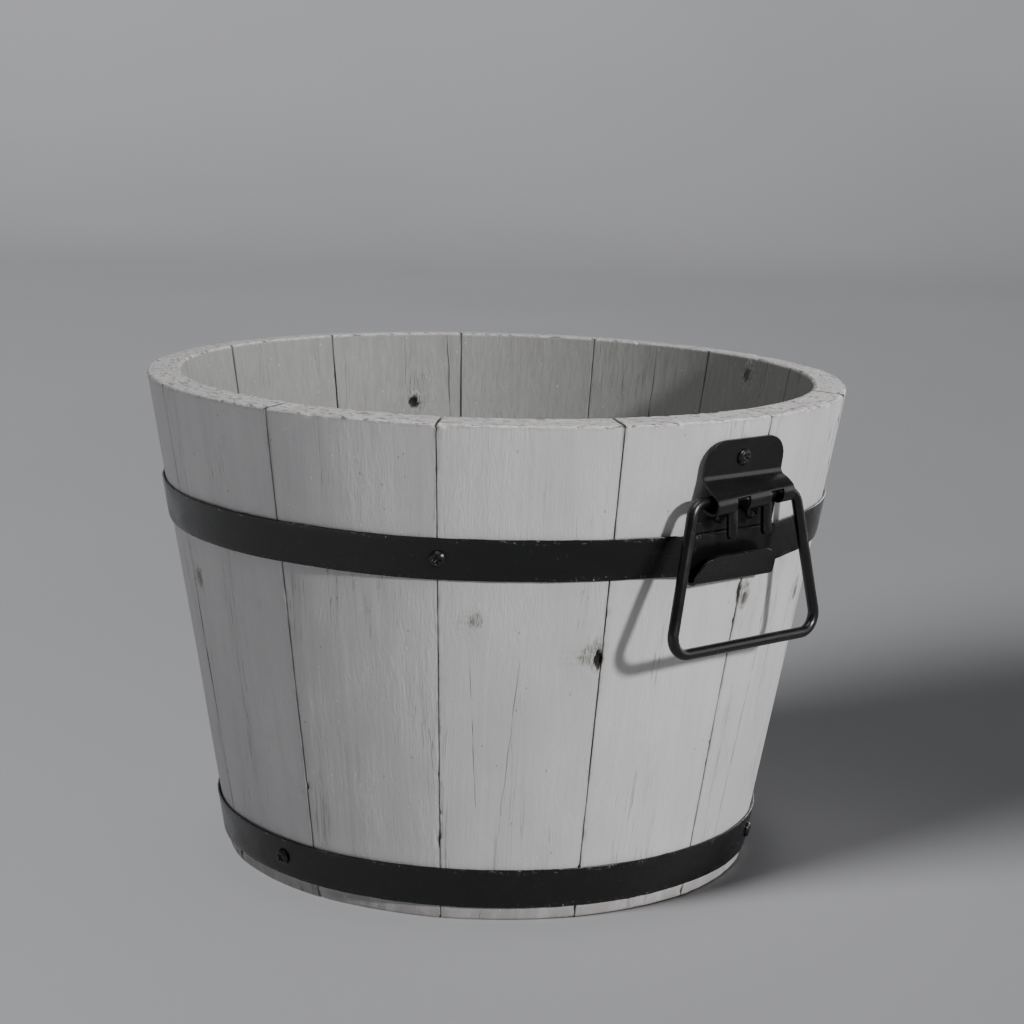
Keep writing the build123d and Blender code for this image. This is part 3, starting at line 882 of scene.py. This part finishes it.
class Shader:
    """Short names for the nodes of one material."""

    def __init__(self, name):
        self.material = bpy.data.materials.new(name)
        self.material.use_nodes = True
        self.tree = self.material.node_tree
        self.surface = self.tree.nodes["Principled BSDF"].inputs

    def put(self, socket, value):
        if isinstance(value, bpy.types.NodeSocket):
            self.tree.links.new(value, socket)
        elif socket.type == "RGBA":
            socket.default_value = (*value, 1)
        else:
            socket.default_value = value

    def node(self, kind, inputs, **settings):
        made = self.tree.nodes.new(kind)
        for key, value in settings.items():
            setattr(made, key, value)
        for key, value in inputs.items():
            self.put(made.inputs[key], value)
        return made

    def attribute(self, name):
        return self.node("ShaderNodeAttribute", {}, attribute_name=name).outputs["Vector"]

    def split(self, vector):
        return self.node("ShaderNodeSeparateXYZ", {0: vector}).outputs

    def math(self, operation, a, b=0, clamp=False):
        made = self.node("ShaderNodeMath", {0: a, 1: b}, operation=operation, use_clamp=clamp)
        return made.outputs[0]

    def times(self, a, b, clamp=False):
        return self.math("MULTIPLY", a, b, clamp)

    def total(self, *parts, clamp=False):
        """Sum of values, each times its own weight."""
        terms = [self.times(value, weight) for value, weight in parts]
        result = terms[0]
        for term in terms[1:]:
            result = self.math("ADD", result, term, clamp)
        return result

    def scaled(self, vector, scale, offset=(0, 0, 0)):
        inputs = {"Vector": vector, "Scale": scale, "Location": offset}
        return self.node("ShaderNodeMapping", inputs).outputs[0]

    def noise(self, vector, scale, detail=2, roughness=0.5, distortion=0, offset=(0, 0, 0)):
        inputs = {"Vector": self.scaled(vector, scale, offset), "Scale": 1}
        inputs.update({"Detail": detail, "Roughness": roughness, "Distortion": distortion})
        return self.node("ShaderNodeTexNoise", inputs).outputs[0]

    def specks(self, vector, scale, offset, size, core):
        """1 within core of the middle of each cell, 0 beyond size."""
        inputs = {"Vector": self.scaled(vector, scale, offset), "Scale": 1}
        cells = self.node("ShaderNodeTexVoronoi", inputs)
        return self.fit(cells.outputs["Distance"], size, core)

    def near_half(self, value, wide, narrow):
        """Fine wandering lines: 1 within narrow of a half, 0 beyond wide."""
        away = self.math("ABSOLUTE", self.math("SUBTRACT", value, 0.5))
        return self.fit(away, wide, narrow)

    def fit(self, value, low, high, to_low=0, to_high=1):
        inputs = {"Value": value, "From Min": low, "From Max": high}
        inputs.update({"To Min": to_low, "To Max": to_high})
        return self.node("ShaderNodeMapRange", inputs, interpolation_type="SMOOTHSTEP").outputs[0]

    def mix(self, share, a, b):
        return self.node("ShaderNodeMix", {0: share, 6: a, 7: b}, data_type="RGBA").outputs[2]

    def layers(self, colour, *over):
        """Colours laid over one another, each by its own share."""
        for share, above in over:
            colour = self.mix(share, colour, above)
        return colour

    def finish(self, colour, rough, specular, relief, depth):
        """Colour, roughness, specular level, and relief of a depth in metres."""
        bump = self.node("ShaderNodeBump", {"Height": relief, "Distance": depth, "Strength": 1})
        values = {"Base Color": colour, "Roughness": rough, "Specular IOR Level": specular}
        values["Normal"] = bump.outputs[0]
        for key, value in values.items():
            self.put(self.surface[key], value)
        return self.material


def outer_paint(s, grain, broad, streak, drips, blotch):
    """Thin uneven paint of the outside, different on each stave."""
    tone = s.node("ShaderNodeAttribute", {}, attribute_name="tone", attribute_type="OBJECT")
    bands = s.noise(grain, (0.11, 0.11, 0.004))
    return s.layers(
        s.mix(s.fit(broad, 0.3, 0.7), PAINT_DULL, PAINT_BRIGHT),
        (s.fit(tone.outputs["Fac"], 0, 1, 0, 0.30), PAINT_PALE),
        (s.fit(bands, 0.38, 0.62, 0.14, 0), BAND_GREY),
        (s.fit(streak, 0.35, 0.65, 0.07, 0), STREAK_GREY),
        (s.fit(drips, 0.55, 0.75, 0, 0.16), DRIP_LIGHT),
        (s.fit(drips, 0.45, 0.25, 0, 0.16), DRIP_DARK),
        (s.fit(blotch, 0.58, 0.76, 0, 0.20), STREAK_GREY),
    )


def cracks(s, grain, distance, width):
    """Hair cracks in patches, and the splits that the mesh carries."""
    thin = s.noise(grain, (0.32, 0.32, 0.0065), 3, 0.55, 0.25, (5, 0, 3))
    patch = s.fit(s.noise(grain, (0.05, 0.05, 0.012), offset=(9, 2, 4)), 0.54, 0.66)
    hair = s.times(s.near_half(thin, 0.0065, 0.0015), patch)
    gap = s.fit(s.math("ABSOLUTE", distance), s.times(width, 1.5), s.times(width, 0.45))
    gap = s.times(gap, s.fit(width, 0.02, 0.1))
    return s.math("MAXIMUM", s.times(hair, 0.55), gap, clamp=True)


def painted_wood():
    """Thin grey-white paint over sawn softwood."""
    s = Shader("whitewashed_wood")
    grain = s.attribute("grain")
    distance, width, knot = s.split(s.attribute("marks"))
    worn, shade_and_dirt, end = s.split(s.attribute("wear_and_shade"))
    _, height, inside = s.split(s.attribute("place"))
    broad = s.noise(grain, (0.02, 0.02, 0.011), 3)
    streak = s.noise(grain, (0.55, 0.55, 0.012), 4, 0.6)
    fine = s.noise(grain, (2.2, 2.2, 0.05), 3, 0.6)
    drips = s.noise(grain, (0.42, 0.42, 0.09), 4, 0.65, 0.8, (6, 3, 1))
    blotch = s.noise(grain, (0.12, 0.12, 0.05), 4, 0.6)
    grit = s.noise(grain, (1.4, 1.4, 0.9), 3, 0.7)
    flakes = s.noise(grain, (0.30, 0.45, 0.3), 5, 0.75, 0, (1, 1, 7))
    rings = s.noise(grain, (0.9, 0.9, 0.35), offset=(3, 7, 0))
    scratch = s.noise(grain, (0.13, 0.5, 0.2), 4, 0.7, 0.6, (2, 6, 1))

    inner = s.mix(s.fit(drips, 0.35, 0.65), INNER_DARK, INNER_LIGHT)
    inner = s.mix(s.fit(blotch, 0.45, 0.7, 0, 0.4), inner, INNER_STAIN)
    bare = s.mix(s.fit(streak, 0.4, 0.6), BARE_DARK, BARE_LIGHT)
    knot_colour = s.mix(s.fit(rings, 0.4, 0.6), KNOT_DARK, KNOT_LIGHT)
    ends = s.mix(s.fit(flakes, 0.38, 0.60), END_DARK, END_LIGHT)

    crack = cracks(s, grain, distance, width)
    pits = s.math("MAXIMUM", s.fit(grit, 0.60, 0.72), s.fit(scratch, 0.565, 0.62))
    pits = s.times(end, pits)
    patchy = s.fit(s.noise(grain, (0.5, 0.5, 0.16), 4, 0.7), 0.42, 0.6)
    edge_wear = s.times(worn, patchy, clamp=True)
    # Darker towards the foot of the staves, in patches
    foot_dark = s.times(s.fit(height, 11, 5), s.fit(blotch, 0.3, 0.6, 0.35, 0.65))
    white_specks = s.specks(grain, (0.16, 0.16, 0.12), (1, 4, 8), 0.075, 0.045)
    dark_specks = s.specks(grain, (0.10, 0.10, 0.06), (8, 1, 2), 0.06, 0.03)
    colour = s.layers(
        outer_paint(s, grain, broad, streak, drips, blotch),
        (s.times(inside, 0.9), inner),
        (s.times(knot, 0.8), knot_colour),
        (s.times(edge_wear, 0.8), bare),
        (foot_dark, FOOT_DARK),
        (s.times(end, 0.8), ends),
        # painted shade in the pits and checks of the end grain
        (s.times(pits, 0.8), PIT_SHADE),
        # painted shade in the gaps of hair cracks and splits
        (s.times(crack, 0.85), CRACK_SHADE),
        # painted shade in the joints and knot holes, with some dirt
        (shade_and_dirt, SHADE_AND_DIRT),
        (s.times(white_specks, 0.6), WHITE_SPECK),
        (s.times(dark_specks, 0.55), DARK_SPECK),
    )
    rough = s.total((s.fit(blotch, 0.3, 0.7, 0.62, 0.82), 1), (edge_wear, 0.12), clamp=True)
    relief = s.total(
        (streak, 0.15), (fine, 0.1), (drips, s.fit(broad, 0.42, 0.62, 0.25, 0.9)),
        (s.times(flakes, end), 0.7), (grit, 0.2), (crack, -0.9), (white_specks, 0.35), (pits, -0.7),
    )
    return s.finish(colour, rough, 0.35, relief, 0.0006)


def black_steel(name, use_wear, base=STEEL_BLACK, roughest=0.33):
    """Satin black paint on steel, scuffed, with flecks of white paint."""
    s = Shader(name)
    if use_wear:
        place = s.attribute("grain")
        worn = s.split(s.attribute("wear_and_shade"))[0]
    else:
        place = s.scaled(s.node("ShaderNodeTexCoord", {}).outputs["Object"], (1000, 1000, 1000))
        worn = s.fit(s.node("ShaderNodeNewGeometry", {}).outputs["Pointiness"], 0.53, 0.60)
    peel = s.noise(place, (0.5, 0.5, 0.5))
    broad = s.noise(place, (0.03, 0.06, 0.06))
    smear = s.noise(place, (0.05, 0.35, 0.3), 4, 0.6)
    scuff = s.noise(place, (0.12, 0.12, 0.12), 5, 0.7)
    scratch = s.noise(place, (0.35, 2.6, 2.6), 3, 0.6, 0.6, (4, 2, 1))
    line = s.times(s.near_half(scratch, 0.006, 0.001), s.fit(scuff, 0.52, 0.66))
    chipping = s.noise(place, (0.28, 0.5, 0.5), 4, 0.7, 0, (3, 3, 3))
    chips = s.times(worn, s.fit(chipping, 0.60, 0.70))

    patch = s.fit(s.noise(place, (0.03, 0.06, 0.05)), 0.50, 0.62)
    flecks = s.times(s.specks(place, (0.22, 0.30, 0.26), (2, 5, 7), 0.11, 0.06), patch)
    flecks = s.times(flecks, s.fit(worn, 0, 0.5, 0.12, 1))
    spatter = s.specks(place, (0.6, 0.9, 0.8), (7, 1, 3), 0.22, 0.12)
    spatter = s.times(spatter, s.times(worn, s.fit(broad, 0.5, 0.6)))
    flecks = s.math("MAXIMUM", flecks, spatter)

    colour = s.layers(
        base,
        (s.fit(smear, 0.4, 0.7, 0, 0.5), tuple(1.5 * c for c in base)),
        (s.times(line, 0.3), SCRATCH_GREY),
        (s.times(chips, 0.75), CHIP_GREY),
        (s.times(flecks, 0.8), FLECK_WHITE),
    )
    rough = s.fit(broad, 0.3, 0.7, 0.22, roughest)
    relief = s.total((peel, 0.25), (line, -0.3), (chips, 0.4), (flecks, 0.4))
    return s.finish(colour, rough, 0.45, relief, 0.00009)


# ------ stage
SWEEP_HALF, SWEEP_FRONT, SWEEP_BACK, SWEEP_CURVE, SWEEP_TOP = 6, -4, 3.6, 1.6, 6.6
CENTRE = (0, 0, 0.15)
# Name, place, target, width in metres, watts, and the collection it lights
LAMPS = (
    ("key", (2.37, -2.21, 1.46), CENTRE, 0.32, 118, "pieces"),
    ("over", (-0.2, -0.7, 3.1), CENTRE, 2.2, 46, "pieces"),
    ("right", (2.8, 0.3, 0.6), CENTRE, 2.4, 22, "pieces"),
    ("edge", (1.6, 2.4, 0.3), CENTRE, 1.4, 24, "pieces"),
    ("wash", (0, 3, 3.5), (0, 5.5, 0.5), 3, 34, "paper_only"),
    ("side", (-5, -3.5, 2.2), CENTRE, 3, 830, "paper_only"),
)
SKY_STRENGTH = 0.10
CAMERA_PLACE, CAMERA_LENS = (0, -1.42166, 0.46436), 87.53
CAMERA_YAW, CAMERA_DOWN, CAMERA_ROLL = -0.434, 10.748, 1.611


def paper_sweep():
    """Pale paper, level under the tub and curved up behind it."""
    turn = np.radians(np.linspace(-90, 0, 17))
    curve = [
        (SWEEP_BACK + SWEEP_CURVE * math.cos(t), SWEEP_CURVE * (1 + math.sin(t))) for t in turn
    ]
    line = [(SWEEP_FRONT, 0)] + curve + [(SWEEP_BACK + SWEEP_CURVE, SWEEP_TOP)]
    points = [(x, y, z) for y, z in line for x in (-SWEEP_HALF, SWEEP_HALF)]
    faces = [[2 * k, 2 * k + 1, 2 * k + 3, 2 * k + 2] for k in range(len(line) - 1)]
    mesh = bpy.data.meshes.new("sweep")
    mesh.from_pydata(points, [], faces)
    mesh.polygons.foreach_set("use_smooth", [True] * len(faces))
    paper = Shader("paper")
    place = paper.node("ShaderNodeTexCoord", {}).outputs["Object"]
    tone = paper.fit(paper.noise(place, (0.7, 0.7, 0.7), 3), 0.3, 0.7)
    paper.put(paper.surface["Base Color"], paper.mix(tone, PAPER_DARK, PAPER_LIGHT))
    paper.put(paper.surface["Roughness"], 0.85)
    mesh.materials.append(paper.material)
    sweep = bpy.data.objects.new("sweep", mesh)
    link(sweep)
    return sweep


def lamp(name, place, target, size, power, lit):
    """Round lamp that lights only the objects of one collection."""
    data = bpy.data.lights.new(name, "AREA")
    data.shape, data.size, data.energy = "DISK", size, power
    made = bpy.data.objects.new(name, data)
    made.location = place
    made.rotation_mode = "QUATERNION"
    made.rotation_quaternion = (Vector(target) - Vector(place)).to_track_quat("-Z", "Y")
    made.light_linking.receiver_collection = lit
    link(made)


def camera():
    data = bpy.data.cameras.new("camera")
    data.sensor_width, data.lens = 36, CAMERA_LENS
    made = bpy.data.objects.new("camera", data)
    place = Matrix.Translation(CAMERA_PLACE)
    for degrees, axis in ((CAMERA_YAW, "Z"), (90 - CAMERA_DOWN, "X"), (CAMERA_ROLL, "Z")):
        place = place @ Matrix.Rotation(math.radians(degrees), 4, axis)
    made.matrix_world = place
    link(made)
    bpy.context.scene.camera = made


def stage():
    """Paper, lamps for the tub, others for the paper, a dim sky, and the camera."""
    sweep = paper_sweep()
    collections = {name: bpy.data.collections.new(name) for name in ("pieces", "paper_only")}
    for item in bpy.context.scene.objects:
        if item.type == "MESH":
            collections["paper_only" if item is sweep else "pieces"].objects.link(item)
    for name, place, target, size, power, lit in LAMPS:
        lamp(name, place, target, size, power, collections[lit])
    world = bpy.data.worlds.new("room")
    world.use_nodes = True
    sky = world.node_tree.nodes["Background"].inputs
    sky[0].default_value = (*SKY, 1)
    sky[1].default_value = SKY_STRENGTH
    bpy.context.scene.world = world
    camera()


# ------ assembly
def main():
    wood = painted_wood()
    banding = black_steel("hoop_steel", True, HOOP_BLACK)
    steel = black_steel("black_steel", False)
    screw_metal = black_steel("screw_steel", False, SCREW_BLACK, roughest=0.32)
    for number, (start, end) in enumerate(zip(SEAMS, SEAMS[1:] + (SEAMS[0] + 360,)), 1):
        stave(number, start, end, wood)
    edges = (-bottom_radius(),) + BOARD_EDGES + (bottom_radius(),)
    for number, (low, high) in enumerate(zip(edges, edges[1:]), 1):
        bottom_board(number, low, high, wood)
    upper = UPPER_LAP_END, UPPER_LAP, UPPER_HOOP_Z, UPPER_SEED
    lower = LOWER_LAP_END, LOWER_LAP, LOWER_HOOP_Z, LOWER_SEED
    hoop("upper", banding, *upper, stretched_radius)
    hoop("lower", banding, *lower, lambda azimuth, z: wall_radius(z))
    for side, azimuth in HANDLES.items():
        bracket(side, azimuth, steel)
        bail(side, azimuth, steel)
    all_fasteners(screw_metal, steel)
    stage()


main()
